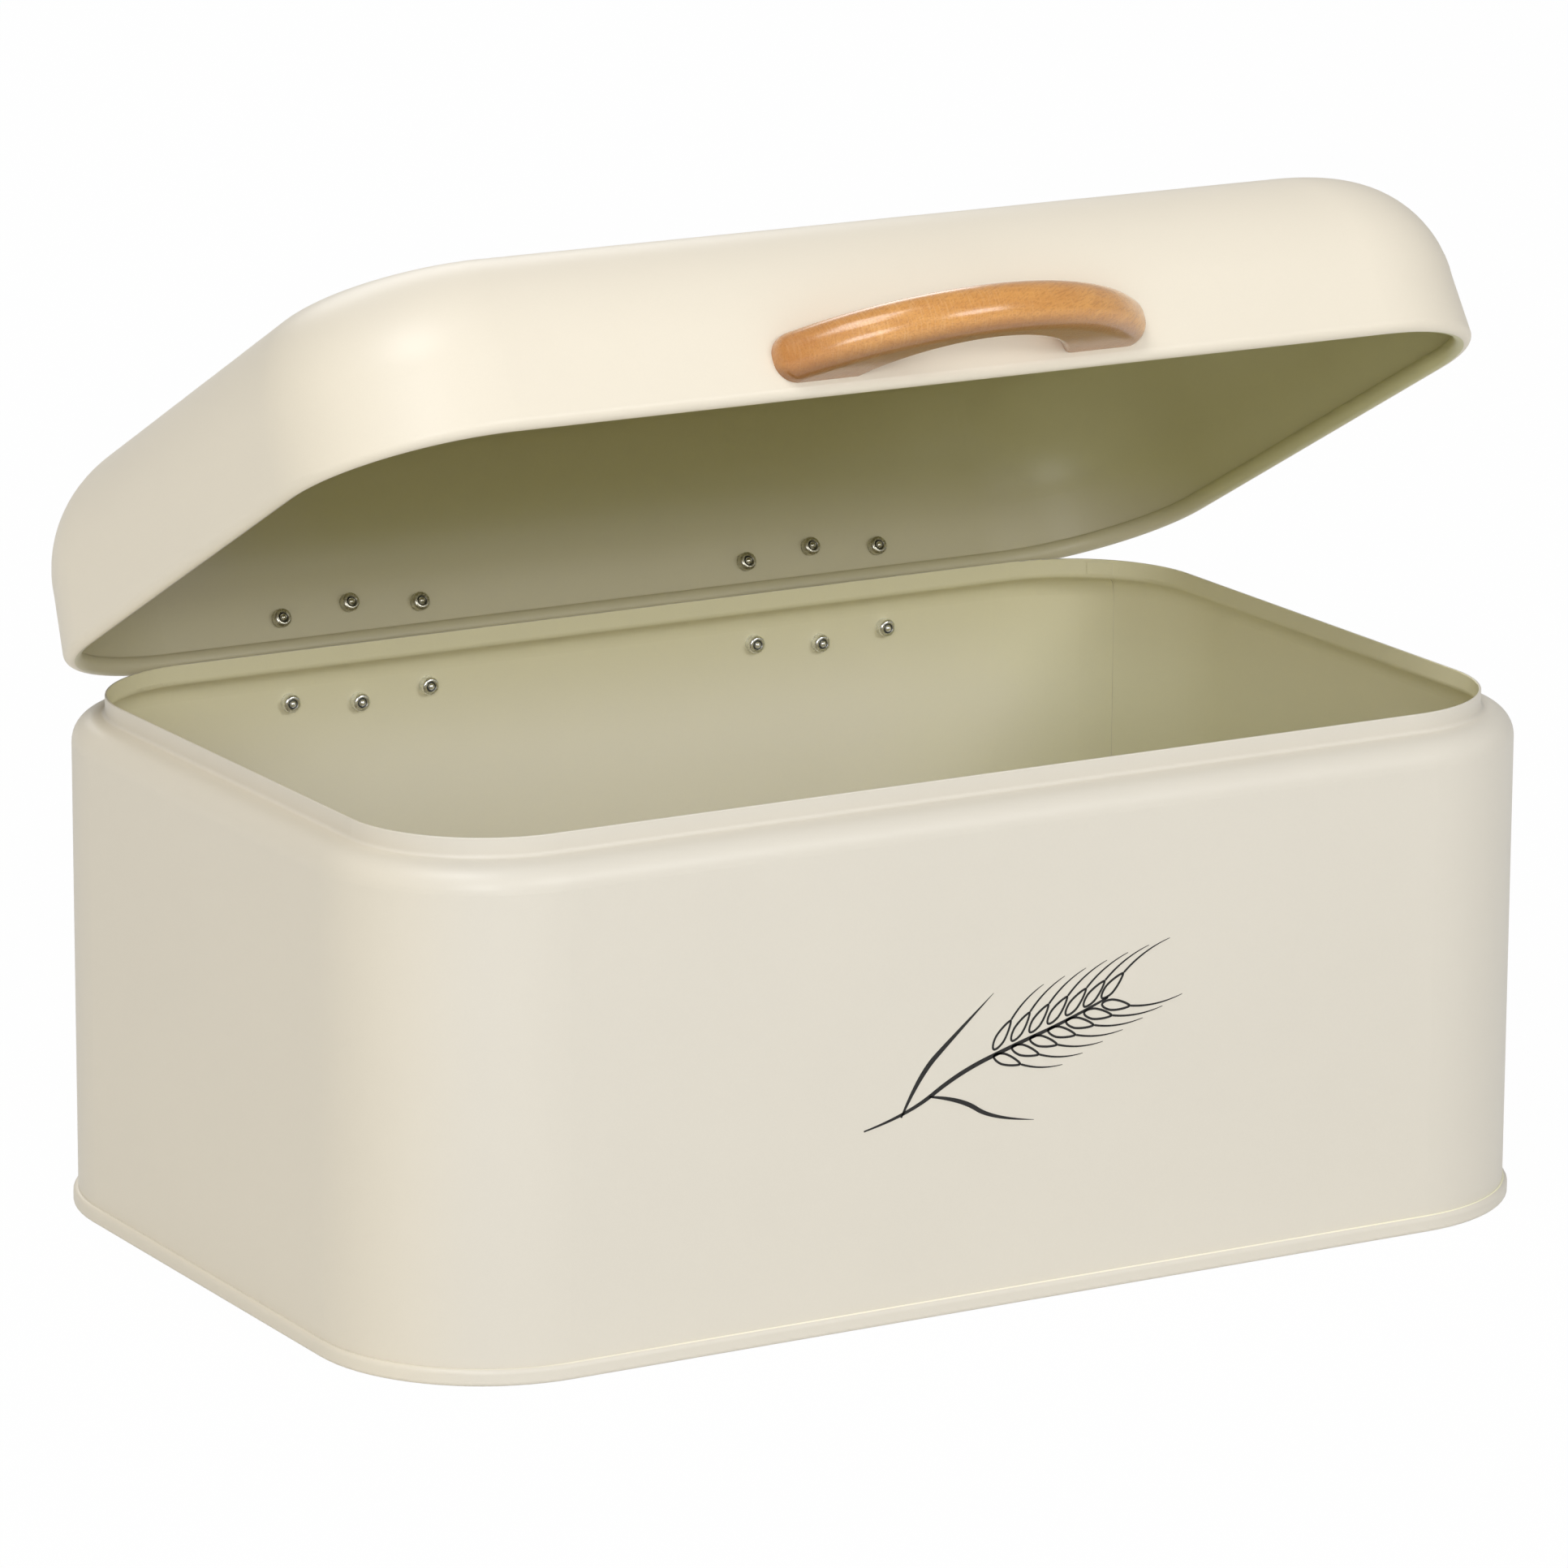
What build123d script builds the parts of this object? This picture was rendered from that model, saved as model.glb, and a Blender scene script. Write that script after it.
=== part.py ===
"""A hinged-lid bread box of coated sheet steel with a beech bow handle.

Millimetres. X runs along the box's length, Y from front to back, Z up. The origin is the middle of the footprint, at
the level that the box stands on. Every piece is drawn with the lid shut, and the lid's pieces are then turned about
the hinge pins by the angle at which the lid rests open.
"""

import os
from math import atan, atan2, cos, degrees, pi, sin, sqrt

from build123d import *

# Box wall
body_width = 335.0
body_depth = 215.0
body_corner_radius = 44.0
body_height = 133.0
wall_sheet = 0.7
neck_height = 5.0
neck_inset = 8.5
neck_root_radius = 1.0
neck_edge_radius = 0.3
shoulder_radius = 7.0

# Foot hem of the wall, and the base pan that is closed round it
hem_height = 3.0
hem_fold = 0.7
seam_bend_radius = 0.4
seam_top_radius = 0.6
pan_sheet = 0.6
pan_floor_height = 3.2
pan_floor_bend = 0.8

# Lid
lid_height = 48.5
lid_sheet = 0.7
lid_curl_radius = 2.4
lid_curl_turn = 300.0
lid_straight_height = 17.5
lid_wall_slant = 0.061
lid_dome_across = 25.0
lid_top_corner_radius = 31.0
lid_dome_steps = 6
lid_closing_gap = 0.3
lid_rest_angle = 27.6

# Hinges
hinge_spacing = 138.6
hinge_length = 50.8
leaf_sheet = 1.0
leaf_corner_radius = 3.0
box_leaf_drop = 16.4
lid_leaf_rise = 16.6
knuckle_diameter = 4.5
knuckle_count = 5
knuckle_side_gap = 0.2
knuckle_notch_gap = 0.3
pin_diameter = 2.5
pin_held_gap = 0.01
pin_running_gap = 0.05
pin_wall_gap = 0.3
pin_above_rim = 0.3
pin_head_diameter = 3.6
pin_head_thickness = 0.6

# Blind rivets
rivet_shank_diameter = 3.2
rivet_hole_gap = 0.05
rivet_flange_diameter = 6.0
rivet_flange_thickness = 1.0
rivet_flange_rim = 0.4
rivet_dimple_diameter = 1.9
rivet_dimple_depth = 0.5
rivet_bulb_diameter = 4.9
rivet_bulb_length = 2.6
rivet_bulb_round = 0.9
rivet_groove_depth = 0.5
rivet_ball_diameter = 2.1
rivet_ball_rise = 0.4
rivet_pitch = 20.2
rivet_stagger = 2.0
box_rivet_drop = 10.2
lid_rivet_rise = 10.6

# Handle
handle_length = 104.0
handle_reach = 27.0
handle_grip_depth = 9.6
handle_height = 12.4
handle_foot_length = 23.5
handle_end_radius = 6.0
handle_end_straight = 1.0
handle_outer_round = 5.6
handle_inner_round = 1.6
handle_above_rim = 9.7

# Handle screws and washers
screw_from_end = 12.0
screw_diameter = 4.0
screw_length = 11.0
screw_head_diameter = 7.6
screw_head_height = 2.4
screw_head_round = 1.4
screw_slot_length = 4.4
screw_slot_width = 1.0
screw_slot_depth = 1.3
screw_hole_gap = 0.05
screw_hole_spare = 1.0
washer_diameter = 9.0
washer_thickness = 0.8

# Levels and places that follow from the sizes above
shoulder_top = body_height - neck_height
shoulder_start = shoulder_top - shoulder_radius
curl_reach = shoulder_radius + lid_closing_gap + lid_curl_radius
curl_offset = shoulder_radius - lid_curl_radius
lid_rim = shoulder_start + sqrt(curl_reach**2 - curl_offset**2) - lid_curl_radius
slant = atan(lid_wall_slant)
pin_y = body_depth / 2 + knuckle_diameter / 2 + pin_wall_gap
pin_z = lid_rim + pin_above_rim
rivet_hole = rivet_shank_diameter + 2 * rivet_hole_gap
screw_hole = screw_diameter + 2 * screw_hole_gap
screw_spacing = handle_length - 2 * screw_from_end

# Rivet places on a leaf, across and up from the middle of the pin
box_rivets = [(-rivet_pitch, -box_rivet_drop), (0, -box_rivet_drop - rivet_stagger), (rivet_pitch, -box_rivet_drop)]
lid_rivets = [(-rivet_pitch, lid_rivet_rise), (0, lid_rivet_rise + rivet_stagger), (rivet_pitch, lid_rivet_rise)]


def closed_section(corners):
    """A face in the XZ plane from corners, each given with the radius that rounds it."""
    points = [(x, z) for x, z, radius in corners]
    radii = [radius for x, z, radius in corners]
    return Plane.XZ * make_face(FilletPolyline(*points, radius=radii, close=True))


def carry_round(section):
    """Carry a section round the box's outline. Its X is measured from the centre of the corner's arc."""
    across = body_width / 2 - body_corner_radius
    along = body_depth / 2 - body_corner_radius
    bend = revolve(section, Axis.Z, 90)
    long_run = extrude(section, amount=2 * across, dir=(0, 1, 0))
    short_run = extrude(section, amount=2 * along, dir=(0, 1, 0))
    ring = []
    for x, y, turn in ((across, along, 0), (-across, along, 90), (-across, -along, 180), (across, -along, 270)):
        ring.append(Pos(x, y, 0) * Rot(0, 0, turn) * bend)
    ring.append(Pos(across, -along, 0) * short_run)
    ring.append(Pos(across, along, 0) * Rot(0, 0, 90) * long_run)
    ring.append(Pos(-across, along, 0) * Rot(0, 0, 180) * short_run)
    ring.append(Pos(-across, -along, 0) * Rot(0, 0, 270) * long_run)
    return ring[0].fuse(*ring[1:]).clean()


def drill(part, place, points, diameter, start, end):
    """Cut round holes along a place's Z axis, between two heights."""
    for x, y in points:
        hole = Pos(x, y, (start + end) / 2) * Cylinder(diameter / 2, end - start)
        part -= place * hole
    return part


def box_back(x):
    """The flat back of the box, level with the pin. Local Z points out of the wall and local Y up."""
    return Plane(origin=(x, body_depth / 2, pin_z), x_dir=(-1, 0, 0), z_dir=(0, 1, 0)).location


def lid_wall(x, side, height):
    """The lid's slanted wall at a height above the rim, on the front where side is -1, on the back where it is 1."""
    y = side * (body_depth / 2 - lid_wall_slant * (height - lid_curl_radius))
    outward = (0, side * cos(slant), sin(slant))
    return Plane(origin=(x, y, lid_rim + height), x_dir=(-side, 0, 0), z_dir=outward).location


def lid_back(x):
    """The lid's slanted back, level with the pin. Local Z points out of the wall and local Y up along it."""
    below = pin_z - lid_rim - lid_curl_radius
    behind = pin_y - body_depth / 2
    return lid_wall(x, 1, lid_curl_radius) * Pos(0, below * cos(slant) - behind * sin(slant), 0)


def make_body_wall():
    """The wrapped wall: a folded hem at the foot, a rounded shoulder, and a neck that the lid's rim goes round."""
    out = body_corner_radius
    neck = out - neck_inset
    foot = pan_sheet
    hem_top = foot + hem_height
    section = closed_section([
        (out - wall_sheet, foot, seam_bend_radius),
        (out + hem_fold, foot, seam_bend_radius),
        (out + hem_fold, hem_top, seam_top_radius),
        (out, hem_top, 0),
        (out, shoulder_top, shoulder_radius),
        (neck, shoulder_top, neck_root_radius),
        (neck, body_height, neck_edge_radius),
        (neck - wall_sheet, body_height, neck_edge_radius),
        (neck - wall_sheet, shoulder_top - wall_sheet, neck_root_radius + wall_sheet),
        (out - wall_sheet, shoulder_top - wall_sheet, shoulder_radius - wall_sheet),
    ])
    wall = carry_round(section)
    for x in hinges.values():
        wall = drill(wall, box_back(x), box_rivets, rivet_hole, -2 * wall_sheet, wall_sheet)
    return wall


def make_base_pan():
    """The bottom: a raised floor whose edge goes down inside the wall, under its hem, up outside and over it."""
    out = body_corner_radius
    lip = 2 * pan_sheet + hem_height
    stand = out + hem_fold + pan_sheet
    leg = out - wall_sheet - pan_sheet
    floor_edge = leg - 2 * pan_floor_bend
    outer_bend = seam_bend_radius + pan_sheet
    section = closed_section([
        (out, lip, 0),
        (stand, lip, seam_top_radius + pan_sheet),
        (stand, 0, outer_bend),
        (leg, 0, outer_bend),
        (leg, pan_floor_height, pan_floor_bend),
        (floor_edge, pan_floor_height, 0),
        (floor_edge, pan_floor_height + pan_sheet, 0),
        (leg + pan_sheet, pan_floor_height + pan_sheet, pan_floor_bend + pan_sheet),
        (leg + pan_sheet, pan_sheet, seam_bend_radius),
        (stand - pan_sheet, pan_sheet, seam_bend_radius),
        (stand - pan_sheet, lip - pan_sheet, seam_top_radius),
        (out, lip - pan_sheet, 0),
    ])
    inset = out - floor_edge
    sheet = RectangleRounded(body_width - 2 * inset, body_depth - 2 * inset, floor_edge)
    floor = extrude(Pos(0, 0, pan_floor_height) * sheet, amount=pan_sheet)
    return (carry_round(section) + floor).clean()


def lid_level(inset, height, out, up):
    """One level of the lid's outside, or of its inside where the sheet's thickness is given outwards and upwards."""
    full_inset = lid_dome_across + lid_wall_slant * (lid_straight_height - lid_curl_radius)
    corner = body_corner_radius + (lid_top_corner_radius - body_corner_radius) * inset / full_inset
    width = body_width - 2 * (inset + out)
    depth = body_depth - 2 * (inset + out)
    return Pos(0, 0, lid_rim + height - up) * RectangleRounded(width, depth, corner - out)


def lid_form(sheet):
    """The lid filled solid from the top of its rim curl up, taken in by the thickness of the sheet."""
    wall_inset = lid_wall_slant * (lid_straight_height - lid_curl_radius)
    dome_rise = lid_height - lid_straight_height
    levels = []
    for step in range(lid_dome_steps + 1):
        turn = pi / 2 * step / lid_dome_steps
        out = cos(turn) * dome_rise
        up = sin(turn) * lid_dome_across
        scale = sheet / sqrt(out**2 + up**2)
        inset = wall_inset + lid_dome_across * (1 - cos(turn))
        height = lid_straight_height + dome_rise * sin(turn)
        levels.append(lid_level(inset, height, scale * out, scale * up))
    skirt = loft([lid_level(0, lid_curl_radius, sheet, 0), levels[0]], ruled=True)
    return skirt + loft(levels)


def make_lid_shell():
    """The drawn lid: a slanted skirt and a soft dome, with the rim curled inward into a bead."""
    curl_centre = (body_corner_radius - lid_curl_radius, lid_rim + lid_curl_radius)
    outer = CenterArc(curl_centre, lid_curl_radius, 0, -lid_curl_turn)
    inner = CenterArc(curl_centre, lid_curl_radius - lid_sheet, 0, -lid_curl_turn)
    curl = make_face([outer, inner, Line(outer @ 0, inner @ 0), Line(outer @ 1, inner @ 1)])
    shell = lid_form(0) - lid_form(lid_sheet)
    shell += carry_round(Plane.XZ * curl)
    for x in hinges.values():
        shell = drill(shell, lid_back(x), lid_rivets, rivet_hole, -2 * lid_sheet, lid_sheet)
    return drill(shell, handle_seat, screw_places, screw_hole, -2 * lid_sheet, lid_sheet)


def knuckle_spans(first):
    """The stretches of the pin that every other knuckle takes, counted from a first one."""
    pitch = hinge_length / knuckle_count
    half = hinge_length / 2
    spans = []
    for index in range(first, knuckle_count, 2):
        low = max(-half + pitch * index + knuckle_side_gap / 2, -half)
        high = min(-half + pitch * (index + 1) - knuckle_side_gap / 2, half)
        spans.append((low, high))
    return spans


def make_leaf(place, up, length, rivets, first, pin_gap):
    """A hinge leaf: a flat plate with rounded free corners, rolled into every other knuckle round the pin."""
    stand = (place.inverse() * Pos(0, pin_y, pin_z)).position.Z
    leaf = extrude(Pos(0, up * length / 2) * Rectangle(hinge_length, length), amount=leaf_sheet)
    free_corners = leaf.edges().filter_by(Axis.Z).sort_by(lambda edge: up * edge.center().Y)[-2:]
    leaf = fillet(free_corners, leaf_corner_radius)
    notch = knuckle_diameter + 2 * knuckle_notch_gap
    for low, high in knuckle_spans(1 - first):
        room = Box(high - low + 2 * knuckle_side_gap, notch, notch)
        leaf -= Pos((low + high) / 2, 0, 0) * room
    for low, high in knuckle_spans(first):
        knuckle = Rot(0, 90, 0) * Cylinder(knuckle_diameter / 2, high - low)
        leaf += Pos((low + high) / 2, 0, stand) * knuckle
    bore = Rot(0, 90, 0) * Cylinder(pin_diameter / 2 + pin_gap, 2 * hinge_length)
    leaf -= Pos(0, 0, stand) * bore
    return place * drill(leaf, Location(), rivets, rivet_hole, -leaf_sheet, 2 * leaf_sheet)


def make_pin(x):
    """The hinge pin, with a flattened head beyond the last knuckle at each end."""
    pin = Rot(0, 90, 0) * Cylinder(pin_diameter / 2, hinge_length)
    for side in (-1, 1):
        head = Cylinder(pin_head_diameter / 2, pin_head_thickness)
        head = fillet(head.edges().sort_by(Axis.Z)[-1], pin_head_thickness / 2)
        pin += Pos(side * (hinge_length + pin_head_thickness) / 2, 0, 0) * Rot(0, side * 90, 0) * head
    return Pos(x, pin_y, pin_z) * pin


def make_rivet(sheet):
    """A blind rivet: a flange on the leaf, a shank, the swollen end inside, a groove and the mandrel's ball."""
    top = leaf_sheet + rivet_flange_thickness
    dimple = rivet_dimple_diameter / 2
    edge = rivet_flange_diameter / 2
    shank = rivet_shank_diameter / 2
    bulb = rivet_bulb_diameter / 2
    bulb_end = -sheet - rivet_bulb_length
    groove = bulb_end + rivet_groove_depth
    ball = rivet_ball_diameter / 2
    ball_height = rivet_groove_depth + rivet_ball_rise
    ball_radius = (ball**2 + ball_height**2) / (2 * ball_height)
    ball_centre = groove - ball_height + ball_radius
    ball_turn = degrees(atan2(groove - ball_centre, ball)) + 90
    outline = [
        Polyline((0, ball_centre - ball_radius), (0, top - rivet_dimple_depth), (dimple, top - rivet_dimple_depth),
                 (dimple, top)),
        Spline((dimple, top), (edge, leaf_sheet + rivet_flange_rim), tangents=((1, 0), (1, -2))),
        Polyline((edge, leaf_sheet + rivet_flange_rim), (edge, leaf_sheet), (shank, leaf_sheet), (shank, -sheet),
                 (bulb, -sheet), (bulb, bulb_end + rivet_bulb_round)),
        CenterArc((bulb - rivet_bulb_round, bulb_end + rivet_bulb_round), rivet_bulb_round, 0, -90),
        Line((bulb - rivet_bulb_round, bulb_end), (ball, groove)),
        CenterArc((0, ball_centre), ball_radius, -90, ball_turn),
    ]
    return revolve(Plane.XZ * make_face(outline), Axis.Z, 360)


def arch_edges(bow, gap):
    """The two edges of the finger gap's arch, one on each flat side of the bow."""
    tops = [Vector(0, side * handle_height / 2, gap) for side in (-1, 1)]
    return [min(bow.edges(), key=lambda edge: (edge @ 0.5 - top).length) for top in tops]


def make_handle():
    """The bow: two feet on the lid, a gentle outer arc with tight ends, a finger gap and rounded edges."""
    half = handle_length / 2
    foot = half - handle_foot_length
    gap = handle_reach - handle_grip_depth
    end_x = half - handle_end_radius
    rise = handle_reach - handle_end_straight
    bow_radius = (end_x**2 + rise**2 - handle_end_radius**2) / (2 * (rise - handle_end_radius))
    bow_centre = handle_reach - bow_radius
    lean = degrees(atan((handle_end_straight - bow_centre) / end_x))
    outline = [
        Line((half, 0), (half, handle_end_straight)),
        CenterArc((end_x, handle_end_straight), handle_end_radius, 0, lean),
        CenterArc((0, bow_centre), bow_radius, lean, 180 - 2 * lean),
        CenterArc((-end_x, handle_end_straight), handle_end_radius, 180 - lean, lean),
        Polyline((-half, handle_end_straight), (-half, 0), (-foot, 0)),
        ThreePointArc((-foot, 0), (0, gap), (foot, 0)),
        Line((foot, 0), (half, 0)),
    ]
    bow = extrude(Plane.XZ * make_face(outline), amount=handle_height / 2, both=True)
    arch = arch_edges(bow, gap)
    rims = bow.faces().filter_by(Axis.Y).edges().filter_by(Axis.X, reverse=True)
    bow = fillet([edge for edge in rims if edge not in arch], handle_outer_round)
    bow = fillet(arch_edges(bow, gap), handle_inner_round)
    depth = screw_length - washer_thickness - lid_sheet + screw_hole_spare
    return handle_seat * drill(bow, Location(), screw_places, screw_hole, -depth, depth)


def make_washer(x):
    """A flat washer under a screw's head, against the inside of the lid."""
    ring = Cylinder(washer_diameter / 2, washer_thickness) - Cylinder(screw_hole / 2, 2 * washer_thickness)
    return handle_seat * Pos(x, 0, -lid_sheet - washer_thickness / 2) * ring


def make_screw(x):
    """A pan-head screw from inside the lid, with a cross recess."""
    seat = -lid_sheet - washer_thickness
    head = Cylinder(screw_head_diameter / 2, screw_head_height)
    head = fillet(head.edges().sort_by(Axis.Z)[0], screw_head_round)
    recess = Box(screw_slot_length, screw_slot_width, screw_slot_depth)
    recess += Box(screw_slot_width, screw_slot_length, screw_slot_depth)
    head -= Pos(0, 0, (screw_slot_depth - screw_head_height) / 2) * recess
    shank = Pos(0, 0, seat + screw_length / 2) * Cylinder(screw_diameter / 2, screw_length)
    return handle_seat * Pos(x, 0, 0) * (Pos(0, 0, seat - screw_head_height / 2) * head + shank)


hinges = {"left": -hinge_spacing / 2, "right": hinge_spacing / 2}
handle_seat = lid_wall(0, -1, handle_above_rim)
screw_places = [(-screw_spacing / 2, 0), (screw_spacing / 2, 0)]

# The box's own pieces
pieces = {"body_wall": make_body_wall(), "base_pan": make_base_pan()}
for side, x in hinges.items():
    pieces[f"hinge_{side}_box_leaf"] = make_leaf(box_back(x), -1, box_leaf_drop, box_rivets, 0, pin_held_gap)
    pieces[f"hinge_{side}_pin"] = make_pin(x)
    for number, (across, up) in enumerate(box_rivets, 1):
        pieces[f"rivet_{side}_box_{number}"] = box_back(x) * Pos(across, up, 0) * make_rivet(wall_sheet)

# The lid's pieces, drawn shut
lid_pieces = {"lid_shell": make_lid_shell(), "handle": make_handle()}
for side, (x, y) in zip(("left", "right"), screw_places):
    lid_pieces[f"handle_washer_{side}"] = make_washer(x)
    lid_pieces[f"handle_screw_{side}"] = make_screw(x)
for side, x in hinges.items():
    lid_pieces[f"hinge_{side}_lid_leaf"] = make_leaf(lid_back(x), 1, lid_leaf_rise, lid_rivets, 1, pin_running_gap)
    for number, (across, up) in enumerate(lid_rivets, 1):
        lid_pieces[f"rivet_{side}_lid_{number}"] = lid_back(x) * Pos(across, up, 0) * make_rivet(lid_sheet)

# Turn the lid about the pins to where it rests
open_lid = Pos(0, pin_y, pin_z) * Rot(-lid_rest_angle, 0, 0) * Pos(0, -pin_y, -pin_z)
for name, piece in lid_pieces.items():
    pieces[name] = open_lid * piece

os.makedirs("parts", exist_ok=True)
for name, piece in pieces.items():
    export_step(piece, f"parts/{name}.step")
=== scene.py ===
from math import cos, pi, radians, sin

import bpy
from mathutils import Matrix, Vector


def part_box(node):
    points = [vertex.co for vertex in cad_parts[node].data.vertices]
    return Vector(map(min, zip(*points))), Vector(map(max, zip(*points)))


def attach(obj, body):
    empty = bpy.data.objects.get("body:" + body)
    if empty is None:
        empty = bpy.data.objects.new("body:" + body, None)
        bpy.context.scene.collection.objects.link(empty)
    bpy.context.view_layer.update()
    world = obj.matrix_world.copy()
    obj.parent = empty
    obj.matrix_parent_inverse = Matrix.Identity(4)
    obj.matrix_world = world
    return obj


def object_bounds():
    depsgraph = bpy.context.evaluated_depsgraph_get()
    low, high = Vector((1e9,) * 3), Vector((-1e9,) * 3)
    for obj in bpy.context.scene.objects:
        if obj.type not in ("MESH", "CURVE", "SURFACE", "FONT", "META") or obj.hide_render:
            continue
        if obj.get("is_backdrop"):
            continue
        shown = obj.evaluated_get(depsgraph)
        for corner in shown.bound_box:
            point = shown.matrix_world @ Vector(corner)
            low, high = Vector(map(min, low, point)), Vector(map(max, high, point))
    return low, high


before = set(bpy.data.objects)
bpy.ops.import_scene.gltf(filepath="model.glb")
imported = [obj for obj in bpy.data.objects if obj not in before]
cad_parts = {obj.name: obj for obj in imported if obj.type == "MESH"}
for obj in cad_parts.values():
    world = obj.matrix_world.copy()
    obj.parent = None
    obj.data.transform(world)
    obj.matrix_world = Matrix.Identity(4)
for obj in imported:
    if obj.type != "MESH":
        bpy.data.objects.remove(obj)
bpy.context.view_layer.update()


# The studio: a white floor that goes on past the picture's edge, soft light from all round, and large soft lamps in
# front, at the left, above and behind. The camera looks down a little, from the front left.
camera_place = (-1.072868, -1.845858, 0.647146)
camera_turn = -30.0944
camera_tilt = 14.1697
camera_roll = 0.2959
camera_lens = 199.125

bpy.ops.object.select_all(action="DESELECT")
bpy.ops.object.camera_add(location=camera_place)
camera = bpy.context.object
camera.name = "photo_camera"
camera.rotation_euler = (
    Matrix.Rotation(radians(camera_turn), 3, "Z")
    @ Matrix.Rotation(radians(90 - camera_tilt), 3, "X")
    @ Matrix.Rotation(radians(camera_roll), 3, "Z")
).to_euler()
camera.data.lens = camera_lens
camera.data.clip_start = 0.05
camera.data.clip_end = 60
bpy.context.scene.camera = camera
bpy.context.scene.view_settings.view_transform = "Standard"


class Signal:
    """One socket of a material's nodes, which takes part in plain sums."""

    def __init__(self, tree, socket=None):
        self.tree = tree
        self.socket = socket

    def node(self, kind, settings=None, sockets=None, take=0):
        """Add a node: its settings first, then the values or links of its sockets. Returns the output to take."""
        node = self.tree.nodes.new("ShaderNode" + kind)
        for name, value in (settings or {}).items():
            if name == "stops":
                ramp = node.color_ramp
                while len(ramp.elements) < len(value):
                    ramp.elements.new(0.5)
                for element, (position, color) in zip(ramp.elements, value):
                    element.position = position
                    element.color = color
            else:
                setattr(node, name, value)
        for name, value in (sockets or {}).items():
            if isinstance(value, Signal):
                self.tree.links.new(value.socket, node.inputs[name])
            else:
                node.inputs[name].default_value = value
        return Signal(self.tree, node.outputs[take] if len(node.outputs) else None)

    def sum(self, operation, a, b):
        return self.node("Math", {"operation": operation}, {0: a, 1: b})

    def __add__(self, other):
        return self.sum("ADD", self, other)

    __radd__ = __add__

    def __sub__(self, other):
        return self.sum("SUBTRACT", self, other)

    def __rsub__(self, other):
        return self.sum("SUBTRACT", other, self)

    def __mul__(self, other):
        return self.sum("MULTIPLY", self, other)

    __rmul__ = __mul__

    def step(self, low, high):
        """A soft step from 0 at the low value to 1 at the high one. The low value may be the larger of the two."""
        settings = {"interpolation_type": "SMOOTHSTEP"}
        return self.node("MapRange", settings, {0: self, 1: low, 2: high})

    def mix(self, without, with_it):
        """A colour without this mask and with it."""
        return self.node("Mix", {"data_type": "RGBA"}, {0: self, 6: without, 7: with_it}, 2)

    def axis(self, name):
        """One coordinate of a vector."""
        return self.node("SeparateXYZ", sockets={0: self}, take=name)

    def vector(self, operation, other=None, take=0):
        """Vector maths on this vector, with another one where the operation takes two."""
        sockets = {0: self} if other is None else {0: self, 1: other}
        return self.node("VectorMath", {"operation": operation}, sockets, take)

    def stretched(self, scale, detail=2.0, roughness=0.5):
        """Noise over this place, with its own scale along each axis, or with one scale along all three."""
        scales = scale if isinstance(scale, tuple) else (scale, scale, scale)
        sockets = {"Vector": self.vector("MULTIPLY", scales), "Scale": 1.0, "Detail": detail, "Roughness": roughness}
        return self.node("TexNoise", sockets=sockets)


def new_finish(name):
    """A material with an empty node tree. Returns it and a signal that adds nodes to the tree."""
    material = bpy.data.materials.new(name)
    material.use_nodes = True
    material.node_tree.nodes.clear()
    return material, Signal(material.node_tree)


def close_finish(start, shader):
    start.node("OutputMaterial", sockets={"Surface": shader})


def tone(red, green, blue):
    """A shader colour from 0 to 255 values as a screen shows them."""
    parts = [value / 255 for value in (red, green, blue)]
    return (*[((part + 0.055) / 1.055) ** 2.4 if part > 0.04045 else part / 12.92 for part in parts], 1)


def dress(piece, finish):
    """Give a piece this one finish all over."""
    piece.data.materials.clear()
    piece.data.materials.append(finish)


pure_white = (1, 1, 1, 1)
room_strength = 0.4
lamp_aim = (0, 0, 0.12)
lamps = (
    ("lamp_by_camera", (-1.1, -1.9, 0.8), (0.8, 0.7), 11.5),
    ("lamp_front_right", (0.6, -1.95, 1.1), (0.8, 0.6), 10),
    ("lamp_above_left", (-0.9, -0.7, 2.1), (1.0, 1.0), 17),
    ("lamp_behind", (0.5, 2.0, 1.3), (1.4, 1.0), 10),
)
floor_size = 60
floor_tone = tone(236, 236, 234)
floor_white_when_seen = 0.98
floor_white_in_gloss = 0.4

world = bpy.data.worlds.new("studio_light")
bpy.context.scene.world = world
world.use_nodes = True
world.node_tree.nodes.clear()
room = Signal(world.node_tree)
seen = room.node("LightPath", take="Is Camera Ray")
room_light = room.node("Background", sockets={"Color": pure_white, "Strength": room_strength})
room_white = room.node("Background", sockets={"Color": pure_white, "Strength": 1})
room_shader = room.node("MixShader", sockets={0: seen, 1: room_light, 2: room_white})
room.node("OutputWorld", sockets={"Surface": room_shader})

for name, place, size, power in lamps:
    bpy.ops.object.light_add(type="AREA", location=place)
    lamp = bpy.context.object
    lamp.name = name
    lamp.data.shape = "RECTANGLE"
    lamp.data.size, lamp.data.size_y = size
    lamp.data.energy = power
    lamp.rotation_euler = (Vector(lamp_aim) - Vector(place)).to_track_quat("-Z", "Y").to_euler()

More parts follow.
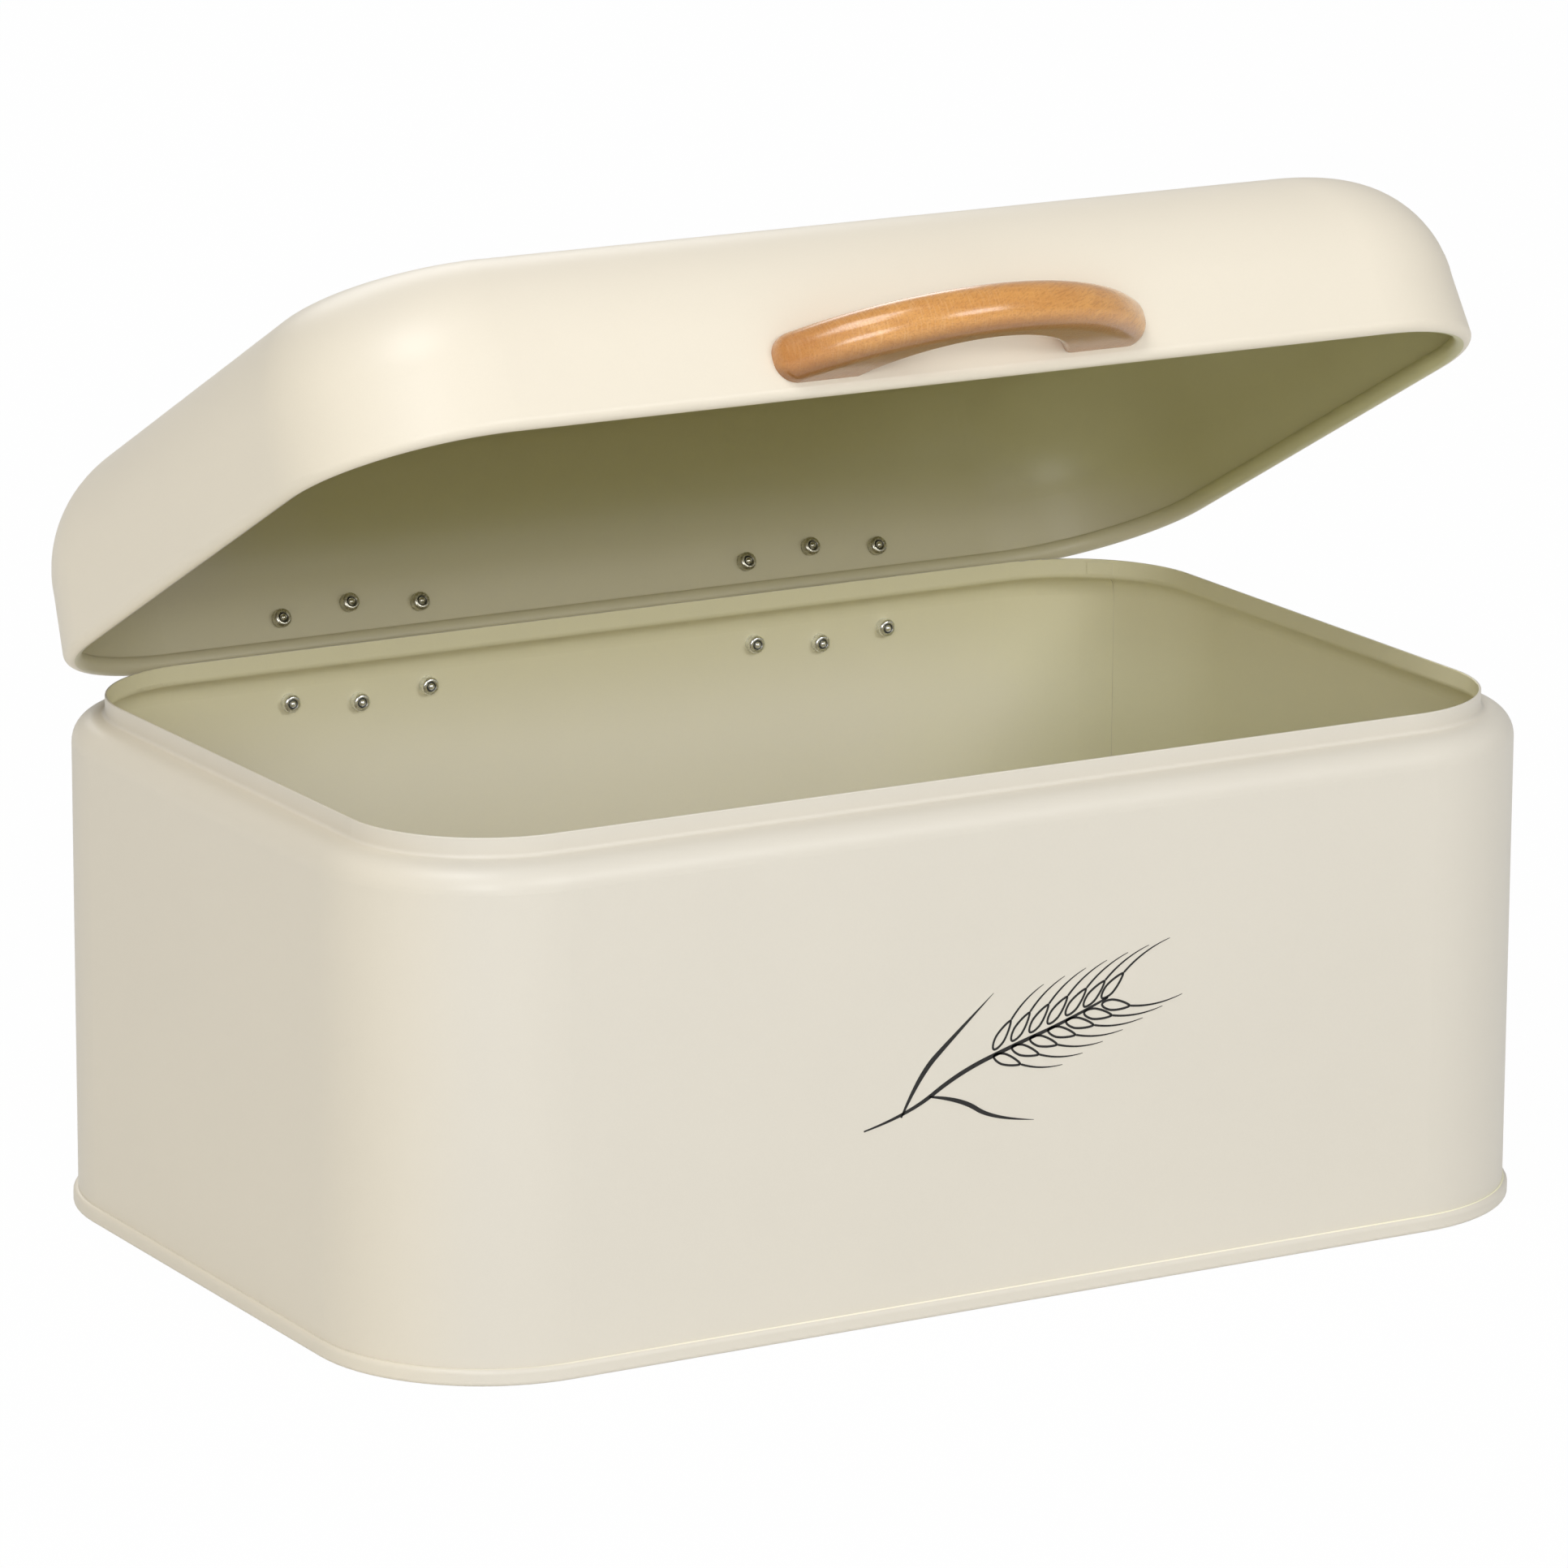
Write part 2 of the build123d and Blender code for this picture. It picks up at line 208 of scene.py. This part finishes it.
bpy.ops.mesh.primitive_plane_add(size=floor_size, location=(0, 0, 0))
floor = bpy.context.object
floor.name = "studio_floor"
floor_finish, start = new_finish("white_floor")
seen = start.node("LightPath", take="Is Camera Ray")
mirrored = start.node("LightPath", take="Is Glossy Ray")
matt = start.node("BsdfDiffuse", sockets={"Color": floor_tone})
white = start.node("Emission", sockets={"Color": pure_white, "Strength": 1})
whitened = start.sum("MAXIMUM", seen * floor_white_when_seen, mirrored * floor_white_in_gloss)
close_finish(start, start.node("MixShader", sockets={0: whitened, 1: matt, 2: white}))
dress(floor, floor_finish)
floor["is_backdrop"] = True


# The box wall, its base pan and the lid: drawn and wrapped steel sheet, powder coated in cream inside and out.
# The coat is satin, with a fine orange peel and faint clouds. Its tones hold painted light and shade: the lid is
# painted lighter than the box, and the left end lighter than the front. The box's lining is painted light, yellower
# to the right and olive shade towards the brim. The lid's lining is painted dark olive shade, lighter at its lower
# edge.
box_middle = (0, 0, 0.07)
# The box's tones: outside, painted lighter at the left end; lining painted light, yellower to the right, with painted
# olive shade towards the brim below the neck.
box_outside_painted_shading = (tone(233, 224, 205), tone(222, 216, 203))
box_lining_painted_shading = (tone(228, 221, 204), tone(253, 248, 229), tone(251, 248, 217))
box_brim_painted_shade = (0.088, 0.130, tone(240, 234, 199))
lid_middle = (0, 0.015, 0.17)
# The lid's tones: outside, painted lighter than the box's; lining painted dark olive as shade, and painted lighter
# near its lower edge.
lid_outside_painted_shading = (tone(243, 233, 212), tone(236, 227, 209))
lid_lining_painted_shading = (tone(201, 192, 177), tone(182, 175, 126), tone(205, 200, 152))
lid_brim_painted_light = (0.160, 0.138, tone(212, 205, 174))
# Where the painted tones of light and shade change from end to end.
outside_painted_shading_change = (-0.1675, -0.143)
lining_left_painted_shading_change = (-0.165, -0.06)
lining_right_painted_shading_change = (0.08, 0.17)
lining_waver = 0.05
inner_face_change = (-0.02, 0.0)
coat_cloud_scale = 22
coat_peel_scale = 650
coat_speck_scale = 2600
coat_peel_height = 0.0002
coat_roughness = 0.34


def make_coat(name, middle, outside, inside, brim):
    """The cream coat, with two outside tones and three inside ones, from left to right, which hold painted light and
    shade.
    The middle is a point inside the shell, which tells the inner faces from the outer ones. The brim is the height at
    which the lining starts to change, the height at which it has changed, and its tone there: painted shade in the
    box, painted light in the lid."""
    finish, start = new_finish(name)
    place = start.node("TexCoord", take="Object")
    facing = start.node("TexCoord", take="Normal")
    inner = 1 - place.vector("SUBTRACT", middle).vector("DOT_PRODUCT", facing, "Value").step(*inner_face_change)
    cloud = place.stretched(coat_cloud_scale)
    peel = place.stretched(coat_peel_scale, roughness=0.55)
    speck = place.stretched(coat_speck_scale, detail=1)
    across = place.axis("X") + (cloud - 0.5) * lining_waver
    # The lining's painted light and shade, changing from end to end and then towards the brim.
    lining = across.step(*lining_left_painted_shading_change).mix(inside[0], inside[1])
    lining = across.step(*lining_right_painted_shading_change).mix(lining, inside[2])
    brim_start, brim_end, brim_painted_tone = brim
    lining = place.axis("Z").step(brim_start, brim_end).mix(lining, brim_painted_tone)
    # The outside's painted light: a lighter tone at the left end.
    outer = place.axis("X").step(*outside_painted_shading_change).mix(outside[0], outside[1])
    coat = inner.mix(outer, lining)
    shade = start.node("HueSaturation", sockets={"Value": 0.972 + cloud * 0.03 + speck * 0.026, "Color": coat})
    relief = start.node("Bump", sockets={"Strength": 0.07, "Distance": coat_peel_height, "Height": peel})
    rough = coat_roughness + cloud * 0.05 + speck * 0.05
    sockets = {"Base Color": shade, "Roughness": rough, "Normal": relief, "Specular IOR Level": 0.5}
    close_finish(start, start.node("BsdfPrincipled", sockets=sockets))
    return finish


# Two copies of the one cream coat, for the box and for the lid, each with its own painted light and shade.
box_coat = make_coat("cream_coat_box_painted_shading", box_middle, box_outside_painted_shading, box_lining_painted_shading, box_brim_painted_shade)
lid_coat = make_coat("cream_coat_lid_painted_shading", lid_middle, lid_outside_painted_shading, lid_lining_painted_shading, lid_brim_painted_light)
for name, finish in (("body_wall", box_coat), ("base_pan", box_coat), ("lid_shell", lid_coat)):
    dress(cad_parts[name], finish)


# The wall's seam: the sheet's two ends are lapped and spot welded in the back right corner, before the coating.
# Inside, the upper end shows as one fine step from the foot to the shoulder, and as a short lap on the neck. Its
# other side is beaten down and runs out into the wall.
corner_middle = (0.1235, 0.0635)
wall_inner_radius = 0.0433
foot_height = 0.0052
shoulder_start = 0.1210
shoulder_inner_radius = 0.0063
shoulder_steps = 12
shoulder_step_angle = 6
lap_sunk = 0.00006
lap_angles = (31, 45.5)
lap_thicknesses = (0.00004, 0.00042)
neck_lap_radius = 0.03484
neck_lap_heights = (0.1290, 0.1322)
neck_lap_angles = (36.5, 48)
neck_lap_thicknesses = (0.00030, 0.00030)
lap_columns = 24
lap_sharp_angle = 40


def lap_strip(name, profile, angles, thicknesses):
    """A strip of sheet inside a corner of the wall, between two angles from the back towards the right. The profile
    gives radius and height up the wall, and the thickness goes from the first value to the second across it."""
    first, last = angles
    near, far = thicknesses
    bpy.ops.object.select_all(action="DESELECT")
    bpy.ops.mesh.primitive_grid_add(x_subdivisions=lap_columns, y_subdivisions=len(profile) - 1, size=1)
    strip = bpy.context.object
    strip.name = name
    spread = strip.vertex_groups.new(name="thickness")
    for vertex in strip.data.vertices:
        share = vertex.co.x + 0.5
        radius, height = profile[round((vertex.co.y + 0.5) * (len(profile) - 1))]
        angle = radians(first + (last - first) * share)
        vertex.co = (corner_middle[0] + radius * sin(angle), corner_middle[1] + radius * cos(angle), height)
        spread.add([vertex.index], (near + (far - near) * share) / max(near, far), "REPLACE")
    bpy.ops.object.mode_set(mode="EDIT")
    bpy.ops.mesh.select_all(action="SELECT")
    bpy.ops.mesh.normals_make_consistent(inside=False)
    bpy.ops.object.mode_set(mode="OBJECT")
    middle = strip.data.polygons[len(strip.data.polygons) // 2]
    outward = middle.normal.dot(middle.center - Vector((*corner_middle, middle.center.z))) > 0
    sheet = strip.modifiers.new("sheet", "SOLIDIFY")
    sheet.thickness = max(near, far)
    sheet.offset = -1 if outward else 1
    sheet.vertex_group = "thickness"
    bpy.ops.object.modifier_apply(modifier="sheet")
    bpy.ops.object.shade_smooth_by_angle(angle=radians(lap_sharp_angle))
    dress(strip, box_coat)
    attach(strip, "box")


lap_radius = wall_inner_radius + lap_sunk
wall_profile = [(lap_radius, foot_height), (lap_radius, shoulder_start)]
for step in range(1, shoulder_steps + 1):
    bend = radians(shoulder_step_angle * step)
    wall_profile.append((lap_radius - shoulder_inner_radius * (1 - cos(bend)),
                         shoulder_start + shoulder_inner_radius * sin(bend)))
neck_profile = [(neck_lap_radius, height) for height in neck_lap_heights]
lap_strip("seam_lap", wall_profile, lap_angles, lap_thicknesses)
lap_strip("seam_lap_neck", neck_profile, neck_lap_angles, neck_lap_thicknesses)


# The print on the front: one ear of wheat, drawn with a fine pen and printed in black on the coat.
# It is a plain line drawing: a stem with two leaves, grains in two rows, and a long thin bristle on each grain.
front_face = -0.1075
print_depth = 0.00005
pen_curve_steps = 10
pen_round_steps = 3
stem_points = [(-0.0425, 0.0500), (-0.0300, 0.0525), (-0.0160, 0.0610), (0.0000, 0.0660), (0.0150, 0.0700),
               (0.0270, 0.0745)]
stem_widths = (0.0004, 0.0010, 0.0013, 0.0011, 0.0009, 0.0006)
low_leaf_points = [(-0.0240, 0.0562), (-0.0150, 0.0545), (-0.0060, 0.0480), (0.0060, 0.0462)]
low_leaf_widths = (0.0005, 0.0014, 0.0010, 0.0001)
high_leaf_points = [(-0.0320, 0.0520), (-0.0270, 0.0620), (-0.0180, 0.0700), (-0.0060, 0.0800)]
high_leaf_widths = (0.0005, 0.0016, 0.0012, 0.0001)
ear_start = (-0.0060, 0.0648)
ear_run = (0.0310, 0.0089)
ear_lean = 16
row_offset = 0.0007
grain_count = 7
grain_corners = 40
grain_length = 0.0088
grain_width = 0.0034
grain_line = 0.00058
grain_belly_end = 0.35
grain_taper = 0.62
grain_spread = 38
bristle_length = 0.0150
bristle_spread = 24
bristle_widths = (0.00058, 0.00048, 0.00014)
spread_lost_to_tip = 12
ink_tones = (tone(14, 13, 12), tone(32, 30, 27))
ink_wear_scale = 2200


def flat_line(name, points, widths):
    """A pen line along points given as X and Z, with its width at each. The bevel of half a metre is multiplied by
    each point's radius, so a radius is the line's whole width there. The line is pressed flat later."""
    bpy.ops.object.select_all(action="DESELECT")
    bpy.ops.curve.primitive_nurbs_path_add(location=(0, 0, 0))
    line = bpy.context.object
    line.name = name
    line.data.splines.clear()
    spline = line.data.splines.new("NURBS")
    spline.points.add(len(points) - 1)
    for point, (x, z), width in zip(spline.points, points, widths):
        point.co = (x, 0, z, 1)
        point.radius = width
    spline.order_u = 3
    spline.use_endpoint_u = True
    spline.resolution_u = pen_curve_steps
    line.data.bevel_depth = 0.5
    line.data.bevel_resolution = pen_round_steps
    line.data.use_fill_caps = True
    bpy.ops.object.convert(target="MESH")
    return bpy.context.object


def flat_grain(name, x, z, turn):
    """The outline of one grain, pointed at its outer end, drawn as a closed pen line."""
    bpy.ops.object.select_all(action="DESELECT")
    bpy.ops.mesh.primitive_circle_add(vertices=grain_corners, radius=0.5, fill_type="NGON",
                                      rotation=(pi / 2, 0, 0))
    grain = bpy.context.object
    grain.name = name
    bpy.ops.object.transform_apply()
    for vertex in grain.data.vertices:
        along = vertex.co.x + 0.5
        belly = 1.0 - grain_taper * max(along - grain_belly_end, 0)
        vertex.co.x = along * grain_length
        vertex.co.z *= grain_width * belly
    bpy.ops.object.mode_set(mode="EDIT")
    bpy.ops.mesh.select_all(action="SELECT")
    bpy.ops.mesh.inset(thickness=grain_line, depth=0)
    bpy.ops.mesh.delete(type="FACE")
    bpy.ops.mesh.select_all(action="SELECT")
    bpy.ops.mesh.extrude_region_move(TRANSFORM_OT_translate={"value": (0, print_depth, 0)})
    bpy.ops.mesh.select_all(action="SELECT")
    bpy.ops.mesh.normals_make_consistent(inside=False)
    bpy.ops.object.mode_set(mode="OBJECT")
    grain.rotation_euler = (0, -turn, 0)
    grain.location = (x, 0, z)
    bpy.ops.object.transform_apply()
    return grain


ink, start = new_finish("printed_ink")
wear = start.node("TexCoord", take="Object").stretched(ink_wear_scale, detail=3)
shade = wear.step(0.35, 0.75).mix(*ink_tones)
close_finish(start, start.node("BsdfPrincipled", sockets={"Base Color": shade, "Roughness": 0.42 + wear * 0.2}))

drawn = [
    flat_line("wheat_stem", stem_points, stem_widths),
    flat_line("wheat_leaf_low", low_leaf_points, low_leaf_widths),
    flat_line("wheat_leaf_high", high_leaf_points, high_leaf_widths),
]
for side in (-1, 1):
    for index in range(grain_count):
        share = index / (grain_count - 1)
        x = ear_start[0] + ear_run[0] * share
        z = ear_start[1] + ear_run[1] * share + row_offset * side
        turn = radians(ear_lean + side * (grain_spread - spread_lost_to_tip * share))
        drawn.append(flat_grain("wheat_grain", x, z, turn))
        tip = (x + grain_length * cos(turn), z + grain_length * sin(turn))
        lean = radians(ear_lean + side * (bristle_spread - spread_lost_to_tip * share))
        reach = bristle_length * (0.8 + 0.2 * share)
        bend = (tip[0] + 0.5 * reach * cos(turn), tip[1] + 0.5 * reach * sin(turn))
        end = (tip[0] + reach * cos(lean), tip[1] + reach * sin(lean))
        drawn.append(flat_line("wheat_bristle", [tip, bend, end], bristle_widths))
bpy.ops.object.select_all(action="DESELECT")
for piece in drawn:
    piece.select_set(True)
bpy.context.view_layer.objects.active = drawn[0]
bpy.ops.object.join()
wheat = bpy.context.object
wheat.name = "wheat_print"
for vertex in wheat.data.vertices:
    vertex.co.y = front_face - print_depth if vertex.co.y < print_depth / 2 else front_face + print_depth / 2
dress(wheat, ink)
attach(wheat, "box")


# The handle: a bow cut and turned from beech, sanded round and lacquered, screwed on from inside the lid.
# The grain runs along it, with short fine flecks that lie a little aslant. The sanding left faint marks across it,
# in a light tone that is partly a painted highlight, most at the left. It is darker towards the left end, and the
# underside is painted darker as shade.
handle_seat = (0, -0.078, 0.23635)
handle_lean = radians(58.91)
fleck_slant = radians(24)
ring_middle = (0, 0.03, 0.02)
ring_scale = 75
swirl_scale = (24, 60, 60)
fibre_scale = (180, 1500, 1500)
fleck_scale = (340, 2400, 2400)
sanding_scale = (2700, 230, 230)
beech_tones = [(0.2, tone(196, 131, 58)), (0.8, tone(231, 169, 90))]
fleck_tone = tone(160, 98, 38)
# The sanding marks' light tone, partly a painted highlight.
sanded_highlight_tone = tone(240, 190, 128)
# A darker tone towards the left end.
left_end_tone = tone(176, 110, 48)
# Painted shade for the handle's underside.
underside_painted_shade_tone = tone(120, 74, 30)
left_highlight_change = (-0.030, 0.030)
left_end_change = (-0.054, -0.030)

finish, start = new_finish("lacquered_beech")
place = start.node("TexCoord", take="Object")
bow = start.node("Mapping", {"vector_type": "TEXTURE"}, {0: place, 1: handle_seat, 2: (handle_lean, 0, 0)})
slanted = start.node("Mapping", {"vector_type": "TEXTURE"}, {0: bow, 2: (0, 0, fleck_slant)})
slanted = start.node("Mapping", {"vector_type": "TEXTURE"}, {0: slanted, 2: (0, fleck_slant, 0)})
swirl = bow.stretched(swirl_scale, detail=2)
rings = start.node("TexWave", {"wave_type": "RINGS", "rings_direction": "X"},
                   {"Vector": bow.vector("ADD", ring_middle), "Scale": ring_scale, "Distortion": 5.5,
                    "Detail": 3, "Detail Scale": 1.2})
fibre = bow.stretched(fibre_scale, detail=4, roughness=0.6)
fleck = slanted.stretched(fleck_scale, detail=1).step(0.50, 0.64)
sanding = bow.stretched(sanding_scale, detail=2)
# Where the sanding marks' painted highlight is strongest: towards the left end.
left_highlight_share = 1 - bow.axis("X").step(*left_highlight_change)
# Darker towards the left end.
left_end_darkening = 1 - bow.axis("X").step(*left_end_change)
# Painted shade: darker where the handle faces down.
painted_underside_shade = (0 - start.node("TexCoord", take="Normal").axis("Z")).step(-0.08, 0.70)
wood = start.node("ValToRGB", {"stops": beech_tones}, {0: rings * 0.12 + fibre * 0.5 + swirl * 0.44 - 0.03})
wood = (fleck * 0.28).mix(wood, fleck_tone)
wood = (sanding.step(0.48, 0.70) * (left_highlight_share * 0.24 + 0.06)).mix(wood, sanded_highlight_tone)
wood = (left_end_darkening * 0.6).mix(wood, left_end_tone)
wood = (painted_underside_shade * 0.70).mix(wood, underside_painted_shade_tone)
height = fibre * 0.3 + sanding * 0.8 - fleck * 0.3
relief = start.node("Bump", sockets={"Strength": 0.35, "Distance": 0.0003, "Height": height})
sockets = {"Base Color": wood, "Roughness": 0.28 + sanding * 0.12, "Normal": relief, "Specular IOR Level": 0.3,
           "Coat Weight": 1.0, "Coat Roughness": 0.2, "Coat IOR": 1.6}
close_finish(start, start.node("BsdfPrincipled", sockets=sockets))
dress(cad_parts["handle"], finish)


# The hinges with their pins, and the handle's screws and washers, of zinc-plated steel. The hinge leaves are pressed
# and rolled from sheet, and riveted to the outside of the back. The plating is faintly clouded.
zinc_dull = tone(190, 193, 197)
zinc_bright = tone(214, 216, 217)
zinc_cloud_scale = 180
zinc_fine_scale = 1800

finish, start = new_finish("zinc_plate")
place = start.node("TexCoord", take="Object")
cloud = place.stretched(zinc_cloud_scale, detail=4, roughness=0.65)
fine = place.stretched(zinc_fine_scale, detail=3)
shade = cloud.step(0.3, 0.7).mix(zinc_dull, zinc_bright)
relief = start.node("Bump", sockets={"Strength": 0.1, "Distance": 0.0002, "Height": fine})
sockets = {"Base Color": shade, "Metallic": 1.0, "Roughness": 0.3 + cloud * 0.12 + fine * 0.08, "Normal": relief}
close_finish(start, start.node("BsdfPrincipled", sockets=sockets))
for name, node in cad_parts.items():
    if name.startswith(("hinge_", "handle_")):
        dress(node, finish)


# The blind rivets, of plain aluminium, three through each hinge leaf. Each has a pale swollen end with a dark ring of
# painted shade round the ball of its broken mandrel. The lid's six are painted darker than the box's, as shade under
# the lid.
lid_turn = radians(27.6)
# Painted shade in the groove round each mandrel's ball.
groove_shade_tone = tone(58, 58, 54)
groove_inner_edge = (0.00092, 0.00112)
groove_outer_edge = (0.00125, 0.00145)
beyond_all_rivets = 1.0
rivet_cloud_scale = 700

for part, turn, dull, bright in (
    ("box", 0.0, tone(222, 223, 221), tone(247, 248, 246)),
    # The lid's rivets are painted darker and more olive, as shade under the lid.
    ("lid", lid_turn, tone(176, 173, 158), tone(214, 211, 196)),
):
    finish, start = new_finish("rivet_aluminium_" + part)
    place = start.node("TexCoord", take="Object")
    rivet_axis = (0, cos(turn), -sin(turn))
    members = [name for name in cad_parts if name.startswith("rivet_") and part in name]
    nearest = beyond_all_rivets
    for name in members:
        low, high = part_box(name)
        middle = [(a + b) / 2 for a, b in zip(low, high)]
        aside = place.vector("SUBTRACT", middle).vector("CROSS_PRODUCT", rivet_axis)
        nearest = start.sum("MINIMUM", nearest, aside.vector("LENGTH", take="Value"))
    # Painted shade: a dark ring round each rivet's ball.
    groove_shade = nearest.step(*groove_inner_edge) * (1 - nearest.step(*groove_outer_edge))
    cloud = place.stretched(rivet_cloud_scale, detail=3, roughness=0.6)
    shade = (groove_shade * 0.85).mix(cloud.step(0.3, 0.7).mix(dull, bright), groove_shade_tone)
    sockets = {"Base Color": shade, "Metallic": 1.0, "Roughness": 0.2 + cloud * 0.14 + groove_shade * 0.2}
    close_finish(start, start.node("BsdfPrincipled", sockets=sockets))
    for name in members:
        dress(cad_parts[name], finish)


low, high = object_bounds()
